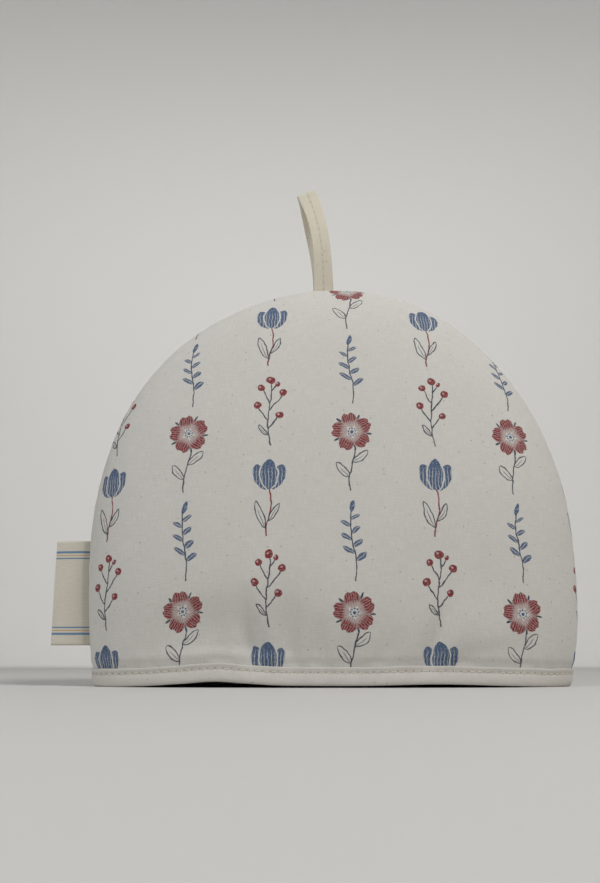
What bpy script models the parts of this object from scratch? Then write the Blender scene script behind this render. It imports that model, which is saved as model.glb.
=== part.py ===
"""A padded cotton tea cosy, standing on its bound hem.

Two wadded panels are sewn together along their curved edge. A folded tape binds the
opening, a strap folded in two makes a hanging loop in the top of the seam, and a plain
ribbon label is caught in the seam at the left side.

Units are metres and +Z is up. The width runs along X and the front faces -Y. Each
panel is described by level sections: a section is half of a rounded lens, whose
half-width and half-depth shrink with the height.
"""

import math

import bmesh
import bpy
from mathutils import Vector

MM = 0.001

# The cosy as a whole
DOME_HEIGHT = 280.5 * MM
HALF_DEPTH = 44.4 * MM
SECTION_POWER = 2.8
LABEL_REACH = 24 * MM
DOME_MIDDLE = LABEL_REACH / 2

# The dome's outline. At each height it follows an ellipse of this half-width, whose
# middle is shifted a little to one side.
OUTLINE = (
    # height, ellipse_half_width, shift
    (0 * MM, 159.2 * MM, -0.3 * MM),
    (30 * MM, 165.0 * MM, 0.8 * MM),
    (60 * MM, 170.1 * MM, 0.8 * MM),
    (90 * MM, 175.5 * MM, 0.2 * MM),
    (120 * MM, 181.6 * MM, 0.0 * MM),
    (150 * MM, 186.9 * MM, -0.4 * MM),
    (180 * MM, 192.3 * MM, -1.0 * MM),
    (210 * MM, 196.8 * MM, -1.1 * MM),
    (240 * MM, 200.6 * MM, -0.2 * MM),
    (280.5 * MM, 205.5 * MM, 5.0 * MM),
)
ELLIPSE_HALF_WIDTH = 1
SHIFT = 2

# The padding swells out above the tape. At each height a panel's face is this far from the
# seam's plane, before the dome rounds it off.
SWELL = (
    # height, stand_off
    (0 * MM, 38.4 * MM),
    (12 * MM, 37.2 * MM),
    (21 * MM, 38.9 * MM),
    (30 * MM, 40.4 * MM),
    (45 * MM, 42.2 * MM),
    (60 * MM, 43.3 * MM),
    (90 * MM, 44.2 * MM),
    (140 * MM, HALF_DEPTH),
    (210 * MM, 43.5 * MM),
    (280.5 * MM, 41.6 * MM),
)
STAND_OFF = 1

# The padded wall and the seam
WALL = 7 * MM
PIECE_GAP = 0.3 * MM
SEAM_DRAW_IN = 2.5 * MM
SEAM_DRAW_REACH = 3.5 * MM

# The hem: the tape folds under the panels' lower edge, where the padding is sewn flat
TAPE = 1.25 * MM
TAPE_HEIGHT = 11.5 * MM
TAPE_CORNER = 1.2 * MM
HEM_PADDING = 4 * MM
HEM_WIDTH = HEM_PADDING + 2 * (TAPE + PIECE_GAP)
PANEL_FOOT = TAPE + PIECE_GAP
PLUMP_FROM = TAPE_HEIGHT + 0.6 * MM
PLUMP_FULL = 18 * MM
GROOVE_FULL = 26 * MM
BLEND_FROM = 20 * MM
BLEND_TO = 40 * MM
TAPE_STATIONS = 76

# The front hem lifts a little off the surface between the two ends
HEM_LIFT = (
    # place, lift
    (-142 * MM, 0.0 * MM),
    (-118 * MM, 1.0 * MM),
    (-96 * MM, 2.4 * MM),
    (-76 * MM, 3.8 * MM),
    (-56 * MM, 2.7 * MM),
    (-38 * MM, 1.6 * MM),
    (-14 * MM, 1.3 * MM),
    (22 * MM, 1.3 * MM),
    (66 * MM, 2.1 * MM),
    (110 * MM, 1.0 * MM),
    (142 * MM, 0.0 * MM),
)
LIFT = 1
LIFT_HELD = 20 * MM
LIFT_GONE = 95 * MM

# Soft upright folds in the front panel, above the tape
HEM_FOLDS = (
    # place, lean, half_width, depth, reach
    (-52 * MM, -0.12, 9 * MM, 2.9 * MM, 68 * MM),
    (-25 * MM, -0.04, 10 * MM, 2.4 * MM, 80 * MM),
    (60 * MM, 0.33, 9 * MM, 2.5 * MM, 74 * MM),
)

# Soft hollows in the front, where the wadding gives way. One less than nothing deep is a bulge.
HOLLOWS = (
    # place, height, half_width, half_height, depth
    (-84 * MM, 39 * MM, 42 * MM, 20 * MM, 3.2 * MM),
    (-12 * MM, 64 * MM, 46 * MM, 32 * MM, -1.7 * MM),
    (97 * MM, 22 * MM, 34 * MM, 22 * MM, 1.0 * MM),
    (110 * MM, 62 * MM, 40 * MM, 28 * MM, 1.6 * MM),
)

# The panels' grid: rows close together at the tape, then even steps round the dome
COLUMNS = 56
FOOT_ROWS = (PANEL_FOOT, PLUMP_FROM, 13.4 * MM, 15.6 * MM, 19.5 * MM, 29 * MM)
DOME_ROWS = 19
CORNER_RISE = math.sqrt(0.5)

# The hanging loop
STRAP_WIDTH = 15 * MM
STRAP_CURL = 0.13
STRAP = 1.6 * MM
STRAP_EDGE = 0.55
LOOP_MIDDLE = -4 * MM
LOOP_LENGTH = 80 * MM
LOOP_LEAN = 12.6 * MM
LEAN_POWER = 2.7
LOOP_SPREAD = 5.6 * MM
LOOP_FOLD_RADIUS = 1.15 * MM
LOOP_BACK_SHIFT = 3.2 * MM
LOOP_SEAT = 1.75 * MM
LOOP_COLUMNS = 4
LOOP_SIDE_ROWS = 16
LOOP_FOLD_ROWS = 6

# The label
LABEL_FOOT = 26.5 * MM
LABEL_TALL = 70 * MM
LABEL = 1.2 * MM
LABEL_EDGE = 0.6
LABEL_SEAT = 0.35 * MM
LABEL_CURL = 2.5 * MM
LABEL_COLUMNS = 8
LABEL_ROWS = 10
DOME_REACH = 165 * MM


def clear_scene():
    for found in list(bpy.data.objects):
        bpy.data.objects.remove(found, do_unlink=True)


def fade(at, start, end):
    """0 at the start and 1 at the end, with level ends."""
    part = min(max((at - start) / (end - start), 0), 1)
    return part * part * (3 - 2 * part)


def row_slope(table, row, column):
    first = max(row - 1, 0)
    last = min(row + 1, len(table) - 1)
    return (table[last][column] - table[first][column]) / (table[last][0] - table[first][0])


def read_table(table, at, column):
    """The column's value at a place between the rows, on a smooth curve through them."""
    at = min(max(at, table[0][0]), table[-1][0])
    row = 0
    while row < len(table) - 2 and at > table[row + 1][0]:
        row += 1
    span = table[row + 1][0] - table[row][0]
    part = (at - table[row][0]) / span
    start_slope = row_slope(table, row, column) * span
    end_slope = row_slope(table, row + 1, column) * span
    rise = table[row + 1][column] - table[row][column]
    bend = part * (1 - part) * ((1 - part) * (start_slope - rise) - part * (end_slope - rise))
    return table[row][column] + part * rise + bend


def half_width(height):
    rise = min(height / DOME_HEIGHT, 1)
    return read_table(OUTLINE, height, ELLIPSE_HALF_WIDTH) * math.sqrt(1 - rise * rise)


def shift(height):
    return DOME_MIDDLE + read_table(OUTLINE, height, SHIFT)


def half_depth(height):
    rise = min(height / DOME_HEIGHT, 1)
    return read_table(SWELL, height, STAND_OFF) * math.sqrt(1 - rise**SECTION_POWER)


def depth_share(across):
    """How deep a level section is at a place from -1 to 1 across it, as a share of its middle."""
    return math.sqrt(max(1 - abs(across) ** SECTION_POWER, 0))


def section_normal(across, height):
    """The way out of a level section, as a step in X and a step away from the seam."""
    in_x = SECTION_POWER * abs(across) ** (SECTION_POWER - 1) / half_width(height)
    in_depth = 2 * depth_share(across) / half_depth(height)
    return Vector((math.copysign(in_x, across), in_depth)).normalized()


def level_wall(across, height, inset):
    """A point of a level section moved straight in: its X, and its depth from the seam's plane."""
    outward = section_normal(across, height)
    out_x = shift(height) + half_width(height) * across
    out_depth = half_depth(height) * depth_share(across)
    return out_x - inset * outward.x, out_depth - inset * outward.y


def hem_lift(x, height):
    held = 1 - fade(height, LIFT_HELD, LIFT_GONE)
    return held * read_table(HEM_LIFT, x - DOME_MIDDLE, LIFT)


def fold_depth(x, height):
    """How far the front's folds and hollows go in at a point."""
    place = x - DOME_MIDDLE
    total = 0
    for foot, lean, half, depth, reach in HEM_FOLDS:
        upright = 1 - fade(height, PLUMP_FULL, reach)
        away = (place - foot - lean * (height - PLUMP_FROM)) / half
        total += depth * upright * math.exp(-away * away)
    for middle, level, half_wide, half_tall, depth in HOLLOWS:
        across, up = (place - middle) / half_wide, (height - level) / half_tall
        total += depth * math.exp(-across * across - up * up)
    return total * fade(height, PLUMP_FROM, PLUMP_FULL)


def grid_height(column, row):
    """The height of a grid point. The rows are level at the foot and bow up towards the top."""
    if row < len(FOOT_ROWS):
        return FOOT_ROWS[row]
    start = FOOT_ROWS[-1] / DOME_HEIGHT
    part = (row - len(FOOT_ROWS) + 1) / DOME_ROWS
    middle = math.sin(math.asin(start) + part * (math.pi / 2 - math.asin(start)))
    side = math.sin(math.asin(start) + part * (math.pi / 4 - math.asin(start)))
    bow = (math.sqrt(1 - column * column / 2) - CORNER_RISE) / (1 - CORNER_RISE)
    return DOME_HEIGHT * min(side + (middle - side) * bow, 1)


def grid_across(column, height):
    """Where a grid column crosses the level section at a height, from -1 to 1."""
    rise = height / DOME_HEIGHT
    left_over = 1 - rise * rise
    if left_over < 1e-9:
        return 0.0
    drawn_in = 1 - rise * rise / (2 - column * column)
    return max(-1.0, min(column * math.sqrt(max(drawn_in, 0) / left_over), 1.0))


def outer_point(across, height):
    """The panel's outside: X, depth from the seam's plane, and height."""
    pinch = (TAPE + PIECE_GAP) * (1 - fade(height, PLUMP_FROM, PLUMP_FULL))
    if pinch > 0:
        x, depth = level_wall(across, height, pinch)
    else:
        x = shift(height) + half_width(height) * across
        depth = half_depth(height) * depth_share(across)
    in_x = (x - shift(height)) / read_table(OUTLINE, height, ELLIPSE_HALF_WIDTH) ** 2
    inward = Vector((in_x, height / DOME_HEIGHT**2)).normalized()
    drawn = SEAM_DRAW_IN * math.exp(-((depth / SEAM_DRAW_REACH) ** 2))
    drawn *= fade(height, PLUMP_FROM, GROOVE_FULL)
    return x - drawn * inward.x, depth, height - drawn * inward.y


def inner_point(across, height):
    """The panel's inside, one wall in from the outside on every side and at the top."""
    full = WALL - TAPE - PIECE_GAP - HEM_PADDING
    inset = WALL - full * (1 - fade(height, PLUMP_FROM, PLUMP_FULL))
    blend = fade(height, BLEND_FROM, BLEND_TO)
    x = shift(height) + half_width(height) * across * (1 - WALL / DOME_REACH)
    depth = half_depth(height) * depth_share(across) * (1 - WALL / HALF_DEPTH)
    if blend < 1:
        level_x, level_depth = level_wall(across, height, inset)
        x = level_x + (x - level_x) * blend
        depth = level_depth + (depth - level_depth) * blend
    return x, depth, height * (1 - blend * WALL / DOME_HEIGHT)


def panel_point(column, row, layer, front):
    """A grid point of the front or back panel, with layer 0 outside and 1 inside."""
    spread = math.sin(column * math.pi / 2)
    height = grid_height(spread, round(row))
    across = grid_across(spread, height)
    surface = inner_point if layer else outer_point
    x, depth, height = surface(across, height)
    if not front:
        return Vector((x, depth + PIECE_GAP / 2, height))
    depth -= fold_depth(x, height) * (1 - layer) * depth_share(across)
    return Vector((x, -depth - PIECE_GAP / 2, height + hem_lift(x, height)))


def make_material(name, colour, roughness):
    material = bpy.data.materials.new(name)
    material.use_nodes = True
    shader = material.node_tree.nodes["Principled BSDF"]
    shader.inputs["Base Color"].default_value = (*colour, 1)
    shader.inputs["Roughness"].default_value = roughness
    shader.inputs["Metallic"].default_value = 0
    return material


def add_object(name, mesh, material, collection):
    mesh.materials.append(material)
    made = bpy.data.objects.new(name, mesh)
    collection.objects.link(made)
    return made


def face_outwards(mesh):
    bmesh.ops.recalc_face_normals(mesh, faces=mesh.faces)
    if mesh.calc_volume(signed=True) < 0:
        bmesh.ops.reverse_faces(mesh, faces=mesh.faces)


def thick_sheet(name, columns, rows, place):
    """A closed mesh of a sheet. place(column, row, layer) takes -1 to 1, 0 to rows, and 0 or 1."""
    sheet = bmesh.new()
    bmesh.ops.create_grid(sheet, x_segments=columns, y_segments=rows, size=1)
    outside = list(sheet.verts)
    extruded = bmesh.ops.extrude_face_region(sheet, geom=sheet.faces[:])
    inside = [item for item in extruded["geom"] if isinstance(item, bmesh.types.BMVert)]
    for layer, verts in enumerate((outside, inside)):
        for vert in verts:
            vert.co = place(vert.co.x, (vert.co.y + 1) / 2 * rows, layer)
    face_outwards(sheet)
    mesh = bpy.data.meshes.new(name)
    sheet.to_mesh(mesh)
    sheet.free()
    return mesh


def make_panel(name, front, material, collection):
    rows = len(FOOT_ROWS) - 1 + DOME_ROWS

    def place(column, row, layer):
        return panel_point(column, row, layer, front)

    add_object(name, thick_sheet(name, COLUMNS, rows, place), material, collection)


def tape_section():
    """The tape's section, as pairs of how far in from the outside and how high."""
    corner = 0.3 * TAPE_CORNER
    return (
        (0, TAPE_HEIGHT),
        (0, TAPE_CORNER),
        (corner, corner),
        (TAPE_CORNER, 0),
        (HEM_WIDTH - TAPE_CORNER, 0),
        (HEM_WIDTH - corner, corner),
        (HEM_WIDTH, TAPE_CORNER),
        (HEM_WIDTH, TAPE_HEIGHT),
        (HEM_WIDTH - TAPE, TAPE_HEIGHT),
        (HEM_WIDTH - TAPE, TAPE),
        (TAPE, TAPE),
        (TAPE, TAPE_HEIGHT),
    )


def tape_point(turn, inset, height):
    """A point of the tape, at a turn round the opening from the middle of the front."""
    sine = math.sin(turn)
    across = math.copysign(abs(sine) ** (2 / SECTION_POWER), sine)
    x, depth = level_wall(across, height, inset)
    depth += PIECE_GAP / 2 * depth_share(across)
    if math.cos(turn) < 0:
        return Vector((x, depth, height))
    return Vector((x, -depth, height + hem_lift(x, height)))


def make_binding(name, material, collection):
    """A ring whose round section is reshaped into the folded tape's."""
    section = tape_section()
    bpy.ops.mesh.primitive_torus_add(major_segments=TAPE_STATIONS, minor_segments=len(section))
    ring = bpy.context.object
    for number, vert in enumerate(ring.data.vertices):
        station, corner = divmod(number, len(section))
        vert.co = tape_point(station * 2 * math.pi / TAPE_STATIONS, *section[corner])
    mesh = ring.data
    bpy.data.objects.remove(ring)
    mesh.name = name
    turned = bmesh.new()
    turned.from_mesh(mesh)
    face_outwards(turned)
    turned.to_mesh(mesh)
    turned.free()
    add_object(name, mesh, material, collection)


def seam_height(x):
    """The top of the seam near the middle of the dome."""
    _, reach, top_shift = OUTLINE[-1]
    return DOME_HEIGHT * math.sqrt(1 - ((x - DOME_MIDDLE - top_shift) / reach) ** 2)


def loop_centre(row):
    """A point on the middle line of the strap, up the front and down the back, and its height share."""
    straight = LOOP_LENGTH - LOOP_FOLD_RADIUS
    back_row = row - LOOP_SIDE_ROWS - LOOP_FOLD_ROWS
    if row < LOOP_SIDE_ROWS or back_row > 0:
        share = row / LOOP_SIDE_ROWS if row < LOOP_SIDE_ROWS else 1 - back_row / LOOP_SIDE_ROWS
        rise = straight * share
        depth = LOOP_FOLD_RADIUS + LOOP_SPREAD * math.sin(math.pi * share) ** 1.3
    else:
        turn = math.pi * (row - LOOP_SIDE_ROWS) / LOOP_FOLD_ROWS
        share = 1
        rise = straight + LOOP_FOLD_RADIUS * math.sin(turn)
        depth = LOOP_FOLD_RADIUS * abs(math.cos(turn))
    behind = row > LOOP_SIDE_ROWS + LOOP_FOLD_ROWS / 2
    x = DOME_MIDDLE + LOOP_MIDDLE - LOOP_LEAN * (rise / LOOP_LENGTH) ** LEAN_POWER
    if behind:
        x -= LOOP_BACK_SHIFT * math.sin(math.pi * share)
    foot = seam_height(DOME_MIDDLE + LOOP_MIDDLE) - LOOP_SEAT
    return Vector((x, depth if behind else -depth, foot + rise)), rise / LOOP_LENGTH


def loop_point(column, row, layer):
    centre, share = loop_centre(row)
    last_row = 2 * LOOP_SIDE_ROWS + LOOP_FOLD_ROWS
    before, _ = loop_centre(max(row - 0.5, 0))
    after, _ = loop_centre(min(row + 0.5, last_row))
    lean = LOOP_LEAN * LEAN_POWER * share ** (LEAN_POWER - 1) / LOOP_LENGTH
    width = Vector((1, 0, lean)).normalized()
    face = (after - before).cross(width).normalized()
    half = STRAP / 2 * (STRAP_EDGE if abs(column) > 0.9 else 1)
    reach = STRAP_WIDTH / 2 * (1 - STRAP_CURL * math.sin(math.pi * min(share, 1)))
    spot = centre + width * column * reach + face * half * (1 - 2 * layer)
    spot.z += (seam_height(spot.x) - seam_height(centre.x)) * (1 - share)
    return spot


def make_loop(name, material, collection):
    rows = 2 * LOOP_SIDE_ROWS + LOOP_FOLD_ROWS
    add_object(name, thick_sheet(name, LOOP_COLUMNS, rows, loop_point), material, collection)


def label_point(column, row, layer):
    """A point of the label, with column -1 at the seam and 1 at the free edge."""
    height = LABEL_FOOT + LABEL_TALL * row / LABEL_ROWS
    seam_x = shift(height) - half_width(height) + SEAM_DRAW_IN - LABEL_SEAT
    free_x = DOME_MIDDLE - DOME_REACH - LABEL_REACH
    part = (column + 1) / 2
    at_edge = column > 0.9 or row < 0.5 or row > LABEL_ROWS - 0.5
    half = LABEL / 2 * (LABEL_EDGE if at_edge else 1)
    y = LABEL_CURL * part * part + half * (1 - 2 * layer)
    return Vector((seam_x + (free_x - seam_x) * part, y, height))


def make_label(name, material, collection):
    mesh = thick_sheet(name, LABEL_COLUMNS, LABEL_ROWS, label_point)
    add_object(name, mesh, material, collection)


def main():
    clear_scene()
    cosy = bpy.data.collections.new("tea_cosy")
    bpy.context.scene.collection.children.link(cosy)
    cotton = make_material("unbleached_cotton", (0.56, 0.52, 0.45), 0.9)
    backing = make_material("unbleached_cotton_back", (0.56, 0.52, 0.45), 0.9)
    tape = make_material("cream_tape", (0.60, 0.56, 0.48), 0.85)
    strap = make_material("cream_strap", (0.62, 0.57, 0.48), 0.85)
    ribbon = make_material("label_ribbon", (0.64, 0.61, 0.54), 0.7)
    make_panel("front_panel", True, cotton, cosy)
    make_panel("back_panel", False, backing, cosy)
    make_binding("hem_binding", tape, cosy)
    make_loop("hanging_loop", strap, cosy)
    make_label("side_label", ribbon, cosy)


main()
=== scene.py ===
import math

import bmesh
import bpy
import numpy as np
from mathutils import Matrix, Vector


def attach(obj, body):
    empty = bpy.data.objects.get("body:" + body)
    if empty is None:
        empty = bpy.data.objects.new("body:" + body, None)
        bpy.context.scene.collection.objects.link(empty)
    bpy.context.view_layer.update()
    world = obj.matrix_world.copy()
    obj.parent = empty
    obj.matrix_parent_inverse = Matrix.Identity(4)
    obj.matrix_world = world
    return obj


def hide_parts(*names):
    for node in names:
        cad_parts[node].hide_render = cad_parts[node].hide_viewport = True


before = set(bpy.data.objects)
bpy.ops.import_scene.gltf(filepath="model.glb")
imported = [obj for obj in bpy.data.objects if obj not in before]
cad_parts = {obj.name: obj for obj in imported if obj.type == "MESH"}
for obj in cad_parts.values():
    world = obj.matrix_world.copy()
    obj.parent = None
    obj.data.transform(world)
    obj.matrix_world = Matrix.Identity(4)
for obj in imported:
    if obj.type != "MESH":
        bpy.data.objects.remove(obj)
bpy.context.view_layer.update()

MM = 0.001
TURN = 2 * math.pi

# ---------------------------------------------------------------- sizes of the cosy
DOME_HEIGHT = 280.5 * MM
HALF_DEPTH = 44.4 * MM
SECTION_POWER = 2.8
LABEL_REACH = 24 * MM
DOME_REACH = 165 * MM
DOME_MIDDLE = LABEL_REACH / 2
WRAP_REACH = 180 * MM
WALL = 7 * MM
SEAM_GAP = 0.06 * MM
SEAM_DRAW_IN = 2.5 * MM
SEAM_DRAW_REACH = 3.5 * MM
SEAM_PUCKER = 0.55 * MM
SEAM_PUCKER_PITCH = 11 * MM
SEAM_PUCKER_REACH = 9 * MM
HEM_PUCKER = 1.2 * MM
HEM_PUCKER_PITCH = 16 * MM
HEM_PUCKER_REACH = 10 * MM
PLUMP_FROM = 12.1 * MM
PLUMP_FULL = 18 * MM
FOLD_FROM = 1 * MM
FOLD_FULL = 24 * MM
GROOVE_FULL = 26 * MM
BLEND_FROM = 20 * MM
BLEND_TO = 40 * MM
HEM_PINCH = 1.3 * MM
HEM_PADDING = 4.3 * MM

# The strap and the label hold the panels apart in the seam.
STRAP_PARTING = 1.85 * MM
STRAP_PARTING_REACH = 9.8 * MM
LABEL_PARTING = 0.55 * MM
LABEL_PARTING_REACH = 0.53
PARTING_DEPTH = 5 * MM

# At each height the outline follows an ellipse of this half-width, shifted to one side.
OUTLINE = np.array(
    (
        # height, ellipse_half_width, shift
        (0, 159.2, -0.3),
        (30, 165.0, 0.8),
        (60, 170.1, 0.8),
        (90, 175.5, 0.2),
        (120, 181.6, 0.0),
        (150, 186.9, -0.4),
        (180, 192.3, -1.0),
        (210, 196.8, -1.1),
        (240, 200.6, -0.2),
        (280.5, 205.5, 5.0),
    )
)
OUTLINE *= MM

# The padding swells out above the tape. At each height a panel's face is this far from the
# seam's plane, before the dome rounds it off.
SWELL = np.array(
    (
        # height, stand_off
        (0, 38.4),
        (8.2, 37.15),
        (12, 37.4),
        (21, 38.9),
        (30, 40.4),
        (45, 42.2),
        (60, 43.3),
        (90, 44.2),
        (140, 44.4),
        (210, 43.5),
        (280.5, 41.6),
    )
)
SWELL *= MM

# The front hem lifts a little off the surface between the two ends.
HEM_LIFT = np.array(
    (
        # place, lift
        (-142, 0.0),
        (-118, 1.0),
        (-96, 2.4),
        (-76, 3.8),
        (-56, 2.7),
        (-38, 1.6),
        (-14, 1.3),
        (22, 1.3),
        (66, 2.1),
        (110, 1.0),
        (142, 0.0),
    )
)
HEM_LIFT *= MM
LIFT_HELD = 20 * MM
LIFT_GONE = 95 * MM

# Upright folds above the front tape. Each starts at its foot and leans as it rises. A keen
# fold has one steep side, and a soft one has two even sides.
HEM_FOLDS = (
    # place, lean, half_width, depth, reach, keenness
    (-51 * MM, -0.13, 6 * MM, 4.4 * MM, 70 * MM, 0.3),
    (-43 * MM, -0.12, 5 * MM, 2.2 * MM, 44 * MM, 0.4),
    (-27 * MM, -0.04, 8 * MM, 3.2 * MM, 82 * MM, 0.2),
    (-7 * MM, -0.05, 6 * MM, 2.2 * MM, 48 * MM, 0.3),
    (9 * MM, 0.0, 5 * MM, 1.6 * MM, 36 * MM, 0.2),
    (36 * MM, 0.1, 5 * MM, 1.6 * MM, 50 * MM, 0.2),
    (60 * MM, 0.33, 6 * MM, 3.4 * MM, 76 * MM, 0.2),
    (72 * MM, 0.4, 4 * MM, -0.8 * MM, 56 * MM, 0.0),
    (76 * MM, 2.6, 20 * MM, 0.8 * MM, 42 * MM, 0.0),
    (-68 * MM, 0.1, 6 * MM, 0.7 * MM, 30 * MM, 0.0),
    (122 * MM, -0.1, 8 * MM, 1.2 * MM, 44 * MM, 0.0),
)

# Soft hollows where the wadding gives way: in the front above the tape, and in both panels.
# One that is less than nothing deep is a bulge.
FRONT_HOLLOWS = (
    # place, height, half_width, half_height, depth
    (-84 * MM, 33 * MM, 42 * MM, 19 * MM, 3.6 * MM),
    (-12 * MM, 64 * MM, 46 * MM, 32 * MM, -1.7 * MM),
    (96 * MM, 33 * MM, 34 * MM, 15 * MM, -0.7 * MM),
    (110 * MM, 62 * MM, 40 * MM, 28 * MM, 1.6 * MM),
)
BOTH_HOLLOWS = (
    # place, height, half_width, half_height, depth
    (-95 * MM, 120 * MM, 40 * MM, 50 * MM, 0.7 * MM),
    (70 * MM, 84 * MM, 50 * MM, 40 * MM, 0.8 * MM),
    (15 * MM, 150 * MM, 60 * MM, 34 * MM, 0.5 * MM),
    (-45 * MM, 205 * MM, 40 * MM, 26 * MM, 0.5 * MM),
    (98 * MM, 165 * MM, 30 * MM, 48 * MM, 0.6 * MM),
)

# How finely the panels' cloth is made
PANEL_COLUMNS = 220
PANEL_FOOT_ROWS = 20
PANEL_FOOT_TOP = 29 * MM
PANEL_DOME_ROWS = 128
CORNER_RISE = math.sqrt(0.5)

HEM_WIDTH = 7.1 * MM
TAPE_STATIONS = 690  # round the hem
PANEL_FOOT = 1.55 * MM
TAPE_STITCH_HEIGHT = 8.2 * MM
TAPE_STITCH_PITCH = 5 * MM
TAPE_STITCH_SEAT = 0.3 * MM

STRAP_WIDTH = 15 * MM
STRAP_CURL = 0.13
STRAP_RUMPLE = 0.5 * MM
STRAP_THICKNESS = 1.6 * MM
LOOP_MIDDLE = -4.4 * MM
LOOP_LENGTH = 80 * MM
LOOP_LEAN = 12.2 * MM
LEAN_POWER = 2.55
LOOP_SPREAD = 5.6 * MM
LOOP_FOLD_RADIUS = 1.15 * MM
LOOP_BACK_SHIFT = 2.6 * MM
LOOP_SEAT = 1.75 * MM
LOOP_TUCK = 2.5 * MM
LOOP_STITCH_PITCH = 5.1 * MM
BACK_SHIFT_POWER = 1.6

LABEL_FOOT = 26.5 * MM
LABEL_TALL = 70 * MM
LABEL_LAYER = 0.44 * MM
LABEL_LAYER_GAP = 0.34 * MM
LABEL_CURL = 2.5 * MM
LABEL_CREASE = 2.2 * MM
LABEL_CREASE_REACH = 6.5 * MM
LABEL_TUCK = 2 * MM

# A stitch's half-thickness, and how much of its pitch it shows on
THREAD = 0.3 * MM
STITCH_SHARE = 0.72

# The studio
FLOOR_RADIUS = 1.6
BACKDROP_BEND = 1.2
BACKDROP_TALL = 3.2

# The view: a short lens just above the hem's level, tipped up at the dome
CAMERA_BACK = 641 * MM
CAMERA_LEFT = 21.5 * MM
CAMERA_UP = 20.5 * MM
CAMERA_TIP = math.radians(12.9)
FRAME_TALL = 883  # pixels
LENS_IN_PIXELS = 930
SENSOR = 36


# ---------------------------------------------------------------- shape of the cloth
def fade(at, start, end):
    """0 at the start and 1 at the end, with level ends."""
    part = np.clip((at - start) / (end - start), 0, 1)
    return part * part * (3 - 2 * part)


def read_table(table, at, column):
    """The column's values at places between the rows, on a smooth curve through them."""
    places, values = table[:, 0], table[:, column]
    first = np.maximum(np.arange(len(places)) - 1, 0)
    last = np.minimum(np.arange(len(places)) + 1, len(places) - 1)
    slopes = (values[last] - values[first]) / (places[last] - places[first])
    at = np.clip(at, places[0], places[-1])
    row = np.clip(np.searchsorted(places, at, side="right") - 1, 0, len(places) - 2)
    span = places[row + 1] - places[row]
    part = (at - places[row]) / span
    rise = values[row + 1] - values[row]
    start = slopes[row] * span - rise
    end = slopes[row + 1] * span - rise
    return values[row] + part * rise + part * (1 - part) * ((1 - part) * start - part * end)


def half_width(height):
    rise = np.minimum(height / DOME_HEIGHT, 1)
    return read_table(OUTLINE, height, 1) * np.sqrt(1 - rise * rise)


def shift(height):
    return DOME_MIDDLE + read_table(OUTLINE, height, 2)


def half_depth(height):
    rise = np.minimum(height / DOME_HEIGHT, 1)
    return read_table(SWELL, height, 1) * np.sqrt(1 - rise**SECTION_POWER)


def depth_share(across):
    return np.sqrt(np.maximum(1 - np.abs(across) ** SECTION_POWER, 0))


def level_wall(across, height, inset):
    """Points of level sections moved straight in: their X and their depth."""
    wide = np.maximum(half_width(height), 1 * MM)
    deep = np.maximum(half_depth(height), 1 * MM)
    out_x = SECTION_POWER * np.abs(across) ** (SECTION_POWER - 1) * np.sign(across) / wide
    out_depth = 2 * depth_share(across) / deep
    size = np.hypot(out_x, out_depth)
    x = shift(height) + half_width(height) * across - inset * out_x / size
    depth = half_depth(height) * depth_share(across) - inset * out_depth / size
    return x, depth


def hem_lift(x, height):
    return (1 - fade(height, LIFT_HELD, LIFT_GONE)) * read_table(HEM_LIFT, x - DOME_MIDDLE, 1)


def fold_depth(x, height):
    """How far the front's upright folds go in at each point."""
    total = np.zeros_like(x)
    for foot, lean, half, depth, reach, keenness in HEM_FOLDS:
        away = (x - DOME_MIDDLE - foot - lean * (height - PLUMP_FROM)) / half
        skewed = away * (1 + keenness * np.tanh(2 * away))
        upright = 1 - fade(height, PLUMP_FULL, reach)
        total += depth * upright * np.exp(-skewed * skewed)
    return total * fade(height, FOLD_FROM, FOLD_FULL)


def hollow_depth(x, height, mirrored):
    """How far the soft hollows go in at each point. The back's are on its other side."""
    total = np.zeros_like(x)
    side = -1 if mirrored else 1
    hollows = BOTH_HOLLOWS if mirrored else BOTH_HOLLOWS + FRONT_HOLLOWS
    for place, level, half_wide, half_tall, depth in hollows:
        across = (x - DOME_MIDDLE - side * place) / half_wide
        up = (height - level) / half_tall
        total += depth * np.exp(-across * across - up * up)
    return total * fade(height, PLUMP_FROM, FOLD_FULL)


def walk_along(line):
    """How far along a line of points each of them is."""
    steps = np.linalg.norm(np.diff(line, axis=0), axis=1)
    return np.concatenate(([0], np.cumsum(steps)))


def uneven(along, pitch, start):
    """A gentle wave that never quite repeats, from 0 to 1, for puckers about one pitch apart."""
    wave = np.sin(TURN * along / pitch + 1.9 * np.sin(TURN * along / (5.3 * pitch) + start))
    slow = np.sin(TURN * along / (3.1 * pitch) + 2.4 * start)
    return (0.5 + 0.5 * wave) * (0.62 + 0.38 * slow)


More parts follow.
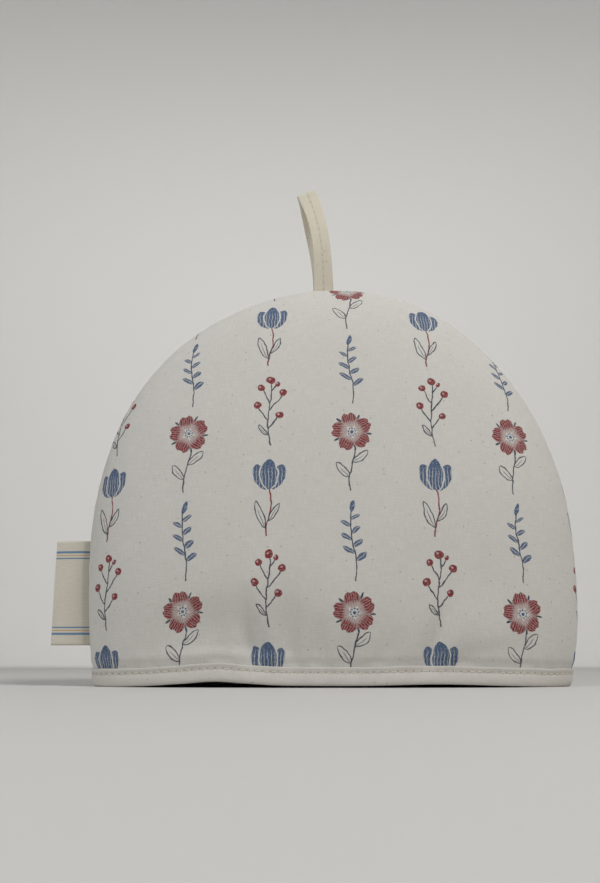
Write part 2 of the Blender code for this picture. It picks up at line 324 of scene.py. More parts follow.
def panel_grid():
    """Each grid point's place across and its height, level at the foot and bowed at the top."""
    column = np.sin(np.linspace(-1, 1, PANEL_COLUMNS + 1) * math.pi / 2)
    foot = np.linspace(PANEL_FOOT, PANEL_FOOT_TOP, PANEL_FOOT_ROWS + 1)[:, None]
    start = math.asin(PANEL_FOOT_TOP / DOME_HEIGHT)
    part = (np.arange(1, PANEL_DOME_ROWS + 1) / PANEL_DOME_ROWS)[:, None]
    middle = np.sin(start + part * (math.pi / 2 - start))
    side = np.sin(start + part * (math.pi / 4 - start))
    bow = (np.sqrt(1 - column * column / 2) - CORNER_RISE) / (1 - CORNER_RISE)
    dome = DOME_HEIGHT * np.minimum(side + (middle - side) * bow, 1)
    height = np.vstack((np.repeat(foot, len(column), axis=1), dome))
    rise = height / DOME_HEIGHT
    left_over = np.maximum(1 - rise * rise, 1e-9)
    drawn_in = np.maximum(1 - rise * rise / (2 - column * column), 0)
    across = np.clip(column * np.sqrt(drawn_in / left_over), -1, 1)
    across[-1] = np.sign(column)
    return across, height


def wrap_length(share):
    """The extra cloth taken up by the curve of the face, out to a share of the way to the seam."""
    steps = np.sin(np.linspace(0, math.pi / 2, 200))
    reach = WRAP_REACH * steps
    depth = HALF_DEPTH * np.sqrt(np.maximum(1 - steps**SECTION_POWER, 0))
    extra = np.hypot(np.diff(reach), np.diff(depth)) - np.diff(reach)
    return np.interp(share, steps, np.concatenate(([0], np.cumsum(extra))))


def cloth_places(across, height):
    """Where each point lies on the flat cloth that the panel was cut from."""
    up = height / DOME_HEIGHT
    right = across * np.sqrt(np.maximum(1 - up * up, 0))
    share = np.hypot(right, up)
    extra = wrap_length(np.minimum(share, 1)) / np.maximum(share, 1e-6)
    x = shift(height) + half_width(height) * across
    return x + extra * right, height + extra * up


def seam_parting(x, height):
    """How far the strap and the label hold the two panels apart in the seam."""
    strap_x = DOME_MIDDLE + LOOP_MIDDLE
    strap = STRAP_PARTING * np.exp(-(((x - strap_x) / STRAP_PARTING_REACH) ** 6))
    strap *= fade(height, DOME_HEIGHT - 14 * MM, DOME_HEIGHT - 6 * MM)
    label_middle = LABEL_FOOT + LABEL_TALL / 2
    away = (height - label_middle) / (LABEL_TALL * LABEL_PARTING_REACH)
    label = LABEL_PARTING * np.exp(-(away**8))
    label *= 1 - fade(x, DOME_MIDDLE - 150 * MM, DOME_MIDDLE - 140 * MM)
    return strap + label


def outer_surface(across, height, mirrored):
    """The printed side of a panel: X, depth from the seam's plane, and height."""
    pinch = HEM_PINCH * (1 - fade(height, PLUMP_FROM - 0.9 * MM, PLUMP_FULL))
    x, depth = level_wall(across, height, pinch)
    in_x = (x - shift(height)) / read_table(OUTLINE, height, 1) ** 2
    in_z = height / DOME_HEIGHT**2
    size = np.hypot(in_x, in_z)
    in_x, in_z = in_x / size, in_z / size
    turn = np.arctan2(in_z, in_x) + (0.7 if mirrored else 0)
    near_seam = np.exp(-depth / SEAM_PUCKER_REACH)
    drawn = SEAM_DRAW_IN * np.exp(-((depth / SEAM_DRAW_REACH) ** 2))
    drawn += SEAM_PUCKER * near_seam * uneven(turn * 230 * MM, SEAM_PUCKER_PITCH, 0.4)
    drawn *= fade(height, PLUMP_FROM, GROOVE_FULL)
    above_tape = np.maximum(height - PLUMP_FROM, 0)
    puckers = HEM_PUCKER * uneven(x, HEM_PUCKER_PITCH, 1.1)
    puckers *= np.exp(-above_tape / HEM_PUCKER_REACH)
    puckers *= fade(height, PLUMP_FROM - 1 * MM, PLUMP_FROM + 3 * MM)
    soft = hollow_depth(x, height, mirrored)
    if not mirrored:
        soft = soft + fold_depth(x, height)
    depth = depth - (soft + puckers) * depth_share(across)
    depth = np.maximum(depth, 0)
    depth = depth + seam_parting(x, height) * np.exp(-depth / PARTING_DEPTH)
    return x - drawn * in_x, depth, height - drawn * in_z


def inner_surface(across, height, mirrored):
    """The plain side of a panel, one wall in from the printed side."""
    full = HEM_PINCH + HEM_PADDING
    inset = full + (WALL - full) * fade(height, PLUMP_FROM, PLUMP_FULL)
    blend = fade(height, BLEND_FROM, BLEND_TO)
    level_x, level_depth = level_wall(across, height, inset)
    x = shift(height) + half_width(height) * across * (1 - WALL / DOME_REACH)
    depth = half_depth(height) * depth_share(across) * (1 - WALL / HALF_DEPTH)
    x = level_x + (x - level_x) * blend
    depth = level_depth + (depth - level_depth) * blend
    depth = depth - 0.5 * hollow_depth(x, height, mirrored) * depth_share(across)
    return x, np.maximum(depth, 0), height * (1 - blend * WALL / DOME_HEIGHT)


# ---------------------------------------------------------------- making meshes
def deselect_all():
    for chosen in bpy.context.selected_objects:
        chosen.select_set(False)


def mesh_object(name, points, faces):
    mesh = bpy.data.meshes.new(name)
    mesh.from_pydata(points.tolist(), [], faces)
    mesh.update()
    made = bpy.data.objects.new(name, mesh)
    bpy.context.scene.collection.objects.link(made)
    for polygon in mesh.polygons:
        polygon.use_smooth = True
    return made


def write_cloth_map(obj, places):
    """Stores each point's place on the flat cloth, in metres, as a UV map."""
    layer = obj.data.uv_layers.new(name="Cloth")
    corners = np.empty(len(obj.data.loops), np.int32)
    obj.data.loops.foreach_get("vertex_index", corners)
    layer.data.foreach_set("uv", places[corners].astype(np.float32).ravel())


def grid_faces(rows, columns, first, turned):
    """Four-cornered faces over a grid of points stored row by row."""
    row, column = np.meshgrid(np.arange(rows - 1), np.arange(columns - 1), indexing="ij")
    corner = (first + row * columns + column).ravel()
    faces = np.stack((corner, corner + 1, corner + columns + 1, corner + columns), 1)
    return faces[:, ::-1] if turned else faces


def grid_rim(rows, columns):
    """The points round the edge of a grid, in order."""
    bottom = np.arange(columns)
    right = np.arange(1, rows) * columns + columns - 1
    top = (rows - 1) * columns + np.arange(columns - 2, -1, -1)
    left = np.arange(rows - 2, 0, -1) * columns
    return np.concatenate((bottom, right, top, left))


def close_sheet(name, outside, inside, turned):
    """A closed mesh from two matching grids of points, with plain faces from the second on."""
    rows, columns = outside.shape[:2]
    count = rows * columns
    points = np.concatenate((outside.reshape(-1, 3), inside.reshape(-1, 3)))
    front = grid_faces(rows, columns, 0, turned)
    back = grid_faces(rows, columns, count, not turned)
    rim = grid_rim(rows, columns)
    after = np.roll(rim, -1)
    edge = np.stack((rim, rim + count, after + count, after), 1)
    edge = edge[:, ::-1] if turned else edge
    made = mesh_object(name, points, np.concatenate((front, back, edge)).tolist())
    for number in range(len(front), len(made.data.polygons)):
        made.data.polygons[number].material_index = 1
    return made


def make_panel(name, mirrored, printed, plain):
    across, height = panel_grid()
    side = 1 if mirrored else -1
    sheets = []
    for surface in (outer_surface, inner_surface):
        x, depth, z = surface(across, height, mirrored)
        if not mirrored:
            z = z + hem_lift(x, z)
        sheets.append(np.stack((x, side * (depth + SEAM_GAP / 2), z), -1))
    panel = close_sheet(name + "_cloth", *sheets, mirrored)
    u, v = cloth_places(across, height)
    flat = np.stack((-u if mirrored else u, v), -1).reshape(-1, 2)
    write_cloth_map(panel, np.concatenate((flat, flat)))
    panel.data.materials.append(printed)
    panel.data.materials.append(plain)
    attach(panel, "root")
    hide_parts(name)
    return panel


def sweep_faces(stations, corners, closed):
    """Faces between rings of points, station by station, with a flat end on an open sweep."""
    faces = []
    last = stations if closed else stations - 1
    for station in range(last):
        here = station * corners
        there = (station + 1) % stations * corners
        for corner in range(corners):
            after = (corner + 1) % corners
            faces.append((here + corner, here + after, there + after, there + corner))
    if not closed:
        faces.append(tuple(reversed(range(corners))))
        faces.append(tuple((stations - 1) * corners + corner for corner in range(corners)))
    return faces


def point_outwards(obj):
    shape = bmesh.new()
    shape.from_mesh(obj.data)
    bmesh.ops.recalc_face_normals(shape, faces=shape.faces)
    if shape.calc_volume(signed=True) < 0:
        bmesh.ops.reverse_faces(shape, faces=shape.faces)
    shape.to_mesh(obj.data)
    shape.free()


# ---------------------------------------------------------------- hem binding
# Half of the tape's section, from the fold at the top of a leaf down to the middle of
# the underside: how far in from the outside, and how high.
TAPE_LEAF = (
    # inset, height
    (1.22, 1.6),
    (1.24, 6.0),
    (1.22, 10.6),
    (1.05, 11.25),
    (0.72, 11.5),
    (0.34, 11.42),
    (0.08, 11.05),
    (0.02, 10.4),
    (0.10, 9.7),
    (0.34, 8.9),
    (0.46, 8.2),
    (0.30, 7.5),
    (0.05, 6.7),
    (-0.12, 5.6),
    (-0.18, 4.3),
    (-0.10, 3.0),
    (0.10, 1.9),
    (0.42, 0.95),
    (0.95, 0.28),
    (1.70, 0.0),
)


def tape_section():
    outside = [(inset * MM, height * MM) for inset, height in TAPE_LEAF]
    inside = [(HEM_WIDTH - inset, height) for inset, height in reversed(outside)]
    return np.array(outside + inside)


def tape_surface(turn, inset, height):
    """Points of the tape at turns round the opening from the middle of the front."""
    sine = np.sin(turn)
    across = np.sign(sine) * np.abs(sine) ** (2 / SECTION_POWER)
    x, depth = level_wall(across, height, inset)
    front = np.cos(turn) >= 0
    lifted = height + np.where(front, hem_lift(x, height), 0)
    outer_share = 1 - inset / HEM_WIDTH
    pressed = depth - fold_depth(x, height) * depth_share(across) * np.clip(outer_share, 0, 1)
    return np.stack((x, np.where(front, -pressed, depth), lifted), -1)


def even_turns(count):
    """Turns round the opening that step evenly along the tape, and the tape's length."""
    turn = np.linspace(0, TURN, 6001)
    ring = tape_surface(turn, np.zeros_like(turn), np.zeros_like(turn))
    length = walk_along(ring)
    return np.interp(np.arange(count) / count * length[-1], length, turn), length[-1]


def make_binding(weave):
    turns, length = even_turns(TAPE_STATIONS)
    section = tape_section()
    along = np.arange(TAPE_STATIONS) / TAPE_STATIONS * length
    turn, inset = np.meshgrid(turns, section[:, 0], indexing="ij")
    height = np.broadcast_to(section[:, 1], inset.shape)
    walk = np.broadcast_to(along[:, None], inset.shape)
    pitch = length / round(length / TAPE_STITCH_PITCH)
    groove = np.exp(-(((height - TAPE_STITCH_HEIGHT) / (1.5 * MM)) ** 2))
    scallop = 0.16 * MM * groove * np.cos(TURN * walk / pitch)
    roll = np.exp(-(((height - 4.2 * MM) / (2.2 * MM)) ** 2))
    slack = 0.28 * MM * roll * (uneven(walk, 17 * MM, 0.8) - 0.4)
    outer = inset < HEM_WIDTH / 2
    leaf_side = np.abs(inset - HEM_WIDTH / 2) > HEM_WIDTH / 2 - 0.9 * MM
    change = np.where(leaf_side, scallop - slack, 0)
    inset = inset + np.where(outer, change, -change)
    wander = 0.3 * MM * (uneven(walk, 31 * MM, 2.2) - 0.4)
    height = height + wander * fade(height, 5 * MM, 11 * MM)
    points = tape_surface(turn, inset, height)
    corners = len(section)
    faces = sweep_faces(TAPE_STATIONS, corners, True)
    binding = mesh_object("hem_binding_cloth", points.reshape(-1, 3), faces)
    down = walk_along(section)
    places = np.stack((walk, np.broadcast_to(down, walk.shape)), -1).reshape(-1, 2)
    grooves = [down[spot] for spot in range(corners) if section[spot, 1] == TAPE_STITCH_HEIGHT]
    tape = stitched_material("bias_tape", weave, SHADED_TAPE_LIGHT, SHADED_TAPE_DARK, grooves, pitch, 0.62)
    write_cloth_map(binding, places)
    point_outwards(binding)
    binding.data.materials.append(tape)
    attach(binding, "root")
    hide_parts("hem_binding")
    stitches = tape_stitches(length, pitch)


def one_stitch():
    """A stitch as a short plump thread along X, its ends dipping, as points and faces."""
    deselect_all()
    bpy.ops.mesh.primitive_uv_sphere_add(segments=8, ring_count=8, radius=1)
    ball = bpy.context.object
    points = np.array([vert.co for vert in ball.data.vertices])[:, [2, 0, 1]]
    faces = []
    for face in ball.data.polygons:
        corners = list(face.vertices)
        first = corners.index(min(corners))
        faces.append(tuple(corners[first:] + corners[:first]))
    bpy.data.objects.remove(ball, do_unlink=True)
    # Blender lists a sphere's faces in another order each time.
    return points, sorted(faces)


def sew(name, middles, runs, outs, length, thread):
    """One mesh of stitches: each lies along its run and shows its out side."""
    points, faces = one_stitch()
    all_points, all_faces = [], []
    for middle, run, out in zip(middles, runs, outs):
        side = np.cross(out, run)
        dip = 1 - 1.5 * points[:, 0] ** 2
        offset = (
            points[:, [0]] * run * length / 2
            + points[:, [1]] * side * THREAD
            + (points[:, [2]] * THREAD * 0.8 + dip[:, None] * THREAD * 0.9) * out
        )
        first = len(all_points) * len(points)
        all_points.append(middle + offset)
        all_faces.extend(tuple(first + corner for corner in face) for face in faces)
    made = mesh_object(name, np.concatenate(all_points), all_faces)
    point_outwards(made)
    made.data.materials.append(thread)
    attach(made, "root")
    return made


def unit(vectors):
    return vectors / np.linalg.norm(vectors, axis=-1, keepdims=True)


def tape_stitches(length, pitch):
    """The row of topstitching, on the outside and on the inside of the tape."""
    count = round(length / pitch)
    turns = even_turns(count * 2)[0][1::2]
    middles, runs, outs = [], [], []
    for inset, facing in ((TAPE_STITCH_SEAT, 1), (HEM_WIDTH - TAPE_STITCH_SEAT, -1)):
        level = np.full(count, TAPE_STITCH_HEIGHT)
        here = tape_surface(turns, np.full(count, inset), level)
        there = tape_surface(turns + 0.002, np.full(count, inset), level)
        further = tape_surface(turns, np.full(count, inset - 1 * MM), level)
        middles.append(here)
        runs.append(unit(there - here))
        outs.append(unit(further - here) * facing)
    made = sew(
        "hem_stitches",
        np.concatenate(middles),
        np.concatenate(runs),
        np.concatenate(outs),
        pitch * STITCH_SHARE,
        sewing_thread(),
    )
    return made


# ---------------------------------------------------------------- hanging loop
STRAP_CORNERS = 21
# The corners in the middle of the strap's front and back, with the three of an edge between
STRAP_MIDDLES = (STRAP_CORNERS // 2, STRAP_CORNERS // 2 + STRAP_CORNERS + 3)


def seam_height(x):
    away = (x - DOME_MIDDLE - OUTLINE[-1, 2]) / OUTLINE[-1, 1]
    return DOME_HEIGHT * np.sqrt(1 - away * away)


def strap_line():
    """The strap's middle line, up the front, over the fold and down the back, and its rise."""
    straight = LOOP_LENGTH - LOOP_FOLD_RADIUS
    climb = np.linspace(-LOOP_TUCK, straight, 90)
    share = np.clip(climb / straight, 0, 1)
    spread = LOOP_FOLD_RADIUS + LOOP_SPREAD * np.sin(math.pi * share) ** 1.3
    turn = np.linspace(0, math.pi, 13)[1:-1]
    rise = np.concatenate((climb, straight + LOOP_FOLD_RADIUS * np.sin(turn), climb[::-1]))
    y = np.concatenate((-spread, -LOOP_FOLD_RADIUS * np.cos(turn), spread[::-1]))
    back = np.concatenate((0 * climb, 0 * turn, np.sin(math.pi * share**BACK_SHIFT_POWER)[::-1]))
    held = np.clip(rise / LOOP_LENGTH, 0, 1)
    x = DOME_MIDDLE + LOOP_MIDDLE - LOOP_LEAN * held**LEAN_POWER - LOOP_BACK_SHIFT * back
    z = seam_height(DOME_MIDDLE + LOOP_MIDDLE) - LOOP_SEAT + rise
    return np.stack((x, y, z), -1), held


def strap_section():
    """The strap's section, as places across it and out of its face, grooved along the stitches."""
    across = np.linspace(-0.95, 0.95, STRAP_CORNERS)
    groove = 0.22 * MM * np.exp(-((across * STRAP_WIDTH / 2 / (0.6 * MM)) ** 2))
    out = STRAP_THICKNESS / 2 * (1 - 0.3 * np.abs(across) ** 10) - groove
    front = np.stack((across, out), -1)
    right = np.array(((0.99, 0.45), (1.0, 0.0), (0.99, -0.45))) * (1, STRAP_THICKNESS / 2)
    left = np.array(((-0.99, -0.5), (-0.955, 0.0), (-0.99, 0.5))) * (1, STRAP_THICKNESS / 2)
    back = np.stack((across[::-1], -out[::-1]), -1)
    return np.concatenate((front, right, back, left))


def strap_frame(line, held):
    lean = LOOP_LEAN * LEAN_POWER * held ** (LEAN_POWER - 1) / LOOP_LENGTH
    width = unit(np.stack((np.ones_like(lean), np.zeros_like(lean), lean), -1))
    face = unit(np.cross(np.gradient(line, axis=0), width))
    return width, face


def make_loop(weave):
    line, held = strap_line()
    width, face = strap_frame(line, held)
    section = strap_section()
    across = section[None, :, 0, None]
    outward = section[None, :, 1, None]
    station = (np.arange(len(line)) * MM)[:, None, None]
    sway = 0.12 * MM * (uneven(station, 9 * MM, 0.3) - 0.4)
    rumple = STRAP_RUMPLE * (uneven(across * STRAP_WIDTH / 2 + 3 * sway, 3.1 * MM, 0.9) - 0.3)
    rumple = rumple * uneven(station, 26 * MM, 1.7) * np.sign(outward)
    out = outward + (sway - np.maximum(rumple, 0)) * (1 - np.abs(across) ** 4)
    reach = STRAP_WIDTH / 2 * (1 - STRAP_CURL * np.sin(math.pi * held))
    points = line[:, None] + width[:, None] * across * reach[:, None, None] + face[:, None] * out
    slope = seam_height(points[..., 0]) - seam_height(line[:, None, 0])
    points[..., 2] += slope * (1 - held[:, None])
    rings, corners = points.shape[:2]
    faces = sweep_faces(rings, corners, False)
    loop = mesh_object("hanging_loop_cloth", points.reshape(-1, 3), faces)
    walked = walk_along(line)
    round_section = walk_along(section * (STRAP_WIDTH / 2, 1))
    down, along = np.meshgrid(round_section, walked)
    write_cloth_map(loop, np.stack((along, down), -1).reshape(-1, 2))
    point_outwards(loop)
    rows = [round_section[corner] for corner in STRAP_MIDDLES]
    colours = (STRAP_LIGHT, STRAP_DARK)
    loop.data.materials.append(
        stitched_material("strap_cotton", weave, *colours, rows, LOOP_STITCH_PITCH, 0.32)
    )
    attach(loop, "root")
    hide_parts("hanging_loop")
    stitches = loop_stitches(line, width, face, walked)


def loop_stitches(line, width, face, walked):
    """The row of stitches along the middle of the strap, on both of its faces."""
    count = int(walked[-1] / LOOP_STITCH_PITCH)
    spots = (np.arange(count) + 0.5) * LOOP_STITCH_PITCH
    spots = spots[np.abs(spots - walked[-1] / 2) > 2.5 * MM]
    middle = np.stack([np.interp(spots, walked, line[:, axis]) for axis in range(3)], -1)
    out = unit(np.stack([np.interp(spots, walked, face[:, axis]) for axis in range(3)], -1))
    across = unit(np.stack([np.interp(spots, walked, width[:, axis]) for axis in range(3)], -1))
    run = unit(np.cross(across, out))
    seat = STRAP_THICKNESS / 2 - 0.3 * MM
    made = sew(
        "loop_stitches",
        np.concatenate((middle + out * seat, middle - out * seat)),
        np.concatenate((run, run)),
        np.concatenate((out, -out)),
        LOOP_STITCH_PITCH * STITCH_SHARE,
        sewing_thread(),
    )
    return made


# ---------------------------------------------------------------- side label
def make_label(ribbon):
    """A ribbon folded in two, its fold at the free edge and both ends in the seam."""
    rows = 48
    height = (LABEL_FOOT + LABEL_TALL * np.linspace(0, 1, rows))[:, None]
    reach = np.concatenate((np.linspace(0, 0.2, 22), np.linspace(0.2, 1, 40)[1:]))
    turn = np.linspace(0, math.pi, 9)[1:-1]
    part = np.concatenate((reach, np.ones(len(turn)), reach[::-1]))[None]
    side = np.concatenate((-np.ones(len(reach)), -np.cos(turn), np.ones(len(reach))))[None]
    bulge = np.concatenate((0 * reach, np.sin(turn), 0 * reach))[None]
    radius = (LABEL_LAYER + LABEL_LAYER_GAP) / 2
    seam_x = shift(height) - half_width(height) + SEAM_DRAW_IN + LABEL_TUCK
    free_x = DOME_MIDDLE - DOME_REACH - LABEL_REACH + radius
    x = seam_x + (free_x - seam_x) * part - bulge * radius
    out = np.maximum(seam_x - LABEL_TUCK - x, 0)
    crease = LABEL_CREASE * np.minimum(out / LABEL_CREASE_REACH, 1)
    tall_share = (height - LABEL_FOOT) / LABEL_TALL
    bend = LABEL_CURL * part * part * (0.75 + 0.5 * tall_share)
    middle = bend - crease + 0.25 * MM * np.sin(TURN * tall_share * 1.3) * part
    gap = radius * (1 + 0.9 * np.exp(-(((part - 0.8) / 0.25) ** 2)))
    y = middle + side * gap
    centre = np.stack((x, y, np.broadcast_to(height, x.shape)), -1)
    along = np.gradient(centre[..., :2], axis=1)
    out_way = unit(np.stack((along[..., 1], -along[..., 0]), -1))
    thick = np.concatenate((out_way, np.zeros_like(x)[..., None]), -1) * LABEL_LAYER / 2
    label = close_sheet("side_label_cloth", centre + thick, centre - thick, False)
    for polygon in label.data.polygons:
        polygon.material_index = 0
    walked = walk_along(centre[rows // 2, :, :2])
    u, v = np.meshgrid(walked, height[:, 0] - LABEL_FOOT)
    flat = np.stack((u, v), -1).reshape(-1, 2)
    write_cloth_map(label, np.concatenate((flat, flat)))
    point_outwards(label)
    label.data.materials.append(ribbon)
    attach(label, "root")
    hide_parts("side_label")


# ---------------------------------------------------------------- building materials
SOCKET_KINDS = {"Place": "NodeSocketVector", "Colour": "NodeSocketColor"}


def feed(tree, socket, value):
    """Links another node's output to a socket, or sets a plain number or colour on it."""
    if isinstance(value, bpy.types.NodeSocket):
        tree.links.new(value, socket)
    else:
        socket.default_value = value


def new_group(name, inputs, outputs):
    """An empty shader node group with its sockets, which are numbers unless they say otherwise."""
    tree = bpy.data.node_groups.new(name, "ShaderNodeTree")
    for labels, way in ((inputs, "INPUT"), (outputs, "OUTPUT")):
        for label in labels:
            kind = SOCKET_KINDS.get(label, "NodeSocketFloat")
            tree.interface.new_socket(label, in_out=way, socket_type=kind)
    given = tree.nodes.new("NodeGroupInput").outputs
    return tree, given


def finish_group(tree, *values):
    ends = tree.nodes.new("NodeGroupOutput")
    for socket, value in zip(ends.inputs, values):
        feed(tree, socket, value)
    return tree


def use(tree, group, *values):
    """Places a group in a tree with its inputs fed in order, and gives its outputs."""
    node = tree.nodes.new("ShaderNodeGroup")
    node.node_tree = group
    for socket, value in zip(node.inputs, values):
        feed(tree, socket, value)
    return node.outputs


def calc(tree, operation, *values):
    node = tree.nodes.new("ShaderNodeMath")
    node.operation = operation
    for socket, value in zip(node.inputs, values):
        feed(tree, socket, value)
    return node.outputs[0]


def plus(tree, first, second):
    return calc(tree, "ADD", first, second)


def minus(tree, first, second):
    return calc(tree, "SUBTRACT", first, second)


def times(tree, first, second):
    return calc(tree, "MULTIPLY", first, second)


def times_plus(tree, first, second, third):
    return calc(tree, "MULTIPLY_ADD", first, second, third)


def smaller(tree, first, second):
    return calc(tree, "MINIMUM", first, second)


def larger(tree, first, second):
    return calc(tree, "MAXIMUM", first, second)


def size_of(tree, value):
    return calc(tree, "ABSOLUTE", value)


def distance(tree, x, y):
    return calc(tree, "SQRT", times_plus(tree, x, x, times(tree, y, y)))


def vector_calc(tree, operation, *values):
    node = tree.nodes.new("ShaderNodeVectorMath")
    node.operation = operation
    for socket, value in zip(node.inputs, values):
        feed(tree, socket, value)
    return node.outputs[0]


def scaled(tree, place, size):
    """A place divided by a size on each axis, so that patterns can be stretched."""
    return vector_calc(tree, "DIVIDE", place, size)


def ramp(tree, value, start, end, low=0.0, high=1.0):
    """A soft step from low to high as the value goes from start to end."""
    node = tree.nodes.new("ShaderNodeMapRange")
    node.interpolation_type = "SMOOTHSTEP"
    for socket, given in zip(node.inputs, (value, start, end, low, high)):
        feed(tree, socket, given)
    return node.outputs["Result"]


def noise(tree, place, detail=2.0, roughness=0.5):
    node = tree.nodes.new("ShaderNodeTexNoise")
    node.noise_dimensions = "2D"
    feed(tree, node.inputs["Vector"], place)
    node.inputs["Scale"].default_value = 1
    node.inputs["Detail"].default_value = detail
    node.inputs["Roughness"].default_value = roughness
    return node.outputs


def blend_colour(tree, share, first, second, how="MIX"):
    node = tree.nodes.new("ShaderNodeMix")
    node.data_type = "RGBA"
    node.blend_type = how
    feed(tree, node.inputs["Factor"], share)
    feed(tree, node.inputs["A"], (*first, 1) if isinstance(first, tuple) else first)
    feed(tree, node.inputs["B"], (*second, 1) if isinstance(second, tuple) else second)
    return node.outputs["Result"]


def split(tree, place):
    node = tree.nodes.new("ShaderNodeSeparateXYZ")
    feed(tree, node.inputs[0], place)
    return node.outputs


def largest(tree, values):
    whole = values[0]
    for value in values[1:]:
        whole = larger(tree, whole, value)
    return whole


# ---------------------------------------------------------------- woven cotton
def weave_group():
    """Plain weave with uneven threads. Places and sizes are in millimetres."""
    tree, given = new_group(
        "Plain weave",
        ("Place", "Pitch", "Streaks"),
        ("Crown", "Tone", "Fleck", "Height"),
    )
    place, pitch, streaks = given["Place"], given["Pitch"], given["Streaks"]
    drift = noise(tree, scaled(tree, place, (9, 9, 9)), 1)["Color"]
    drift = vector_calc(tree, "SUBTRACT", drift, (0.5, 0.5, 0.5))
    drawn = vector_calc(tree, "ADD", place, drift)
    x, y, _ = split(tree, drawn)
    warp = size_of(tree, calc(tree, "SINE", times(tree, calc(tree, "DIVIDE", x, pitch), math.pi)))
    weft = size_of(tree, calc(tree, "SINE", times(tree, calc(tree, "DIVIDE", y, pitch), math.pi)))
    crown = calc(tree, "POWER", times(tree, warp, weft), 0.5)
    upright = noise(tree, scaled(tree, place, (0.62, 7, 1)), 1)["Fac"]
    level = noise(tree, scaled(tree, place, (9, 0.62, 1)), 1)["Fac"]
    threads = plus(tree, upright, level)
    threads = times(tree, minus(tree, threads, 1), streaks)
    slub = noise(tree, scaled(tree, place, (6, 0.55, 1)), 1)["Fac"]
    slub = ramp(tree, slub, 0.72, 0.85)
    mottle = noise(tree, scaled(tree, place, (34, 34, 1)), 3)["Fac"]
    tone = times_plus(tree, crown, 0.35, threads)
    tone = times_plus(tree, mottle, 0.35, tone)
    tone = times_plus(tree, slub, -0.25, tone)
    spots = tree.nodes.new("ShaderNodeTexVoronoi")
    spots.voronoi_dimensions = "2D"
    feed(tree, spots.inputs["Vector"], scaled(tree, place, (8.5, 8.5, 1)))
    spots.inputs["Scale"].default_value = 1
    chance = split(tree, spots.outputs["Color"])
    reach = times(tree, ramp(tree, chance[0], 0.45, 1), 0.07)
    fleck = ramp(tree, minus(tree, reach, spots.outputs["Distance"]), -0.012, 0.02)
    height = times(tree, crown, 0.05)
    height = times_plus(tree, threads, 0.05, height)
    height = times_plus(tree, slub, 0.05, height)
    return finish_group(tree, crown, tone, fleck, height)


# ---------------------------------------------------------------- parts of a printed flower
def petal_group():
    """How far inside a petal's edge a point is. It turns clockwise from upright, about its foot."""
    tree, given = new_group(
        "Petal",
        ("X", "Y", "Foot X", "Foot Y", "Turn", "Length", "Width", "Bend", "Fullness"),
        ("Inside", "Across", "Along"),
    )
    x = minus(tree, given["X"], given["Foot X"])
    y = minus(tree, given["Y"], given["Foot Y"])
    sine = calc(tree, "SINE", given["Turn"])
    cosine = calc(tree, "COSINE", given["Turn"])
    walk = times_plus(tree, x, sine, times(tree, y, cosine))
    side = minus(tree, times(tree, x, cosine), times(tree, y, sine))
    raw = calc(tree, "DIVIDE", walk, given["Length"])
    along = ramp(tree, raw, 0, 1)
    limited = tree.nodes.new("ShaderNodeClamp")
    feed(tree, limited.inputs["Value"], raw)
    share = limited.outputs[0]
    side = minus(tree, side, times(tree, given["Bend"], times(tree, share, share)))
    bulge = times(tree, minus(tree, 1, share), times(tree, share, 4))
    edge = times(tree, calc(tree, "POWER", bulge, given["Fullness"]), given["Width"])
    past = times(tree, size_of(tree, minus(tree, raw, share)), given["Length"])
    inside = times_plus(tree, edge, 0.5, times(tree, size_of(tree, side), -1))
    return finish_group(tree, minus(tree, inside, past), side, along)


def stem_group():
    """How far inside a swaying line a point is, between two heights."""
    tree, given = new_group(
        "Stem",
        ("X", "Y", "Bottom", "Top", "Sway", "Wave", "Start", "Thickness"),
        ("Inside", "Away"),
    )
    turn = times_plus(tree, given["Y"], calc(tree, "DIVIDE", TURN, given["Wave"]), given["Start"])
    middle = times(tree, calc(tree, "SINE", turn), given["Sway"])
    away = minus(tree, given["X"], middle)
    inside = minus(tree, times(tree, given["Thickness"], 0.5), size_of(tree, away))
    inside = smaller(tree, inside, minus(tree, given["Y"], given["Bottom"]))
    inside = smaller(tree, inside, minus(tree, given["Top"], given["Y"]))
    return finish_group(tree, inside, away)


def berry_group():
    tree, given = new_group("Berry", ("X", "Y", "Middle X", "Middle Y", "Radius"), ("Inside",))
    x = minus(tree, given["X"], given["Middle X"])
    y = minus(tree, given["Y"], given["Middle Y"])
    reach = distance(tree, x, y)
    return finish_group(tree, minus(tree, given["Radius"], reach))


def whorl_group():
    """Turns each point about a middle into one sector of a ring, its middle upright."""
    tree, given = new_group(
        "Whorl", ("X", "Y", "Middle X", "Middle Y", "Count", "Start"), ("X", "Y")
    )
    x = minus(tree, given["X"], given["Middle X"])
    y = minus(tree, given["Y"], given["Middle Y"])
    sector = calc(tree, "DIVIDE", TURN, given["Count"])
    half = times(tree, sector, 0.5)
    turn = plus(tree, calc(tree, "ARCTAN2", x, y), given["Start"])
    turn = calc(tree, "WRAP", turn, half, times(tree, half, -1))
    reach = distance(tree, x, y)
    return finish_group(
        tree,
        times(tree, reach, calc(tree, "SINE", turn)),
        times(tree, reach, calc(tree, "COSINE", turn)),
    )


def inked(tree, inside, strength=1.0):
    return ramp(tree, inside, -0.16, 0.22, 0.0, strength)


def outlined(tree, inside, thickness=0.74):
    """The drawn outline of a shape from how far inside it each point is."""
    off_line = size_of(tree, minus(tree, inside, 0.3))
    return minus(tree, thickness / 2, off_line)


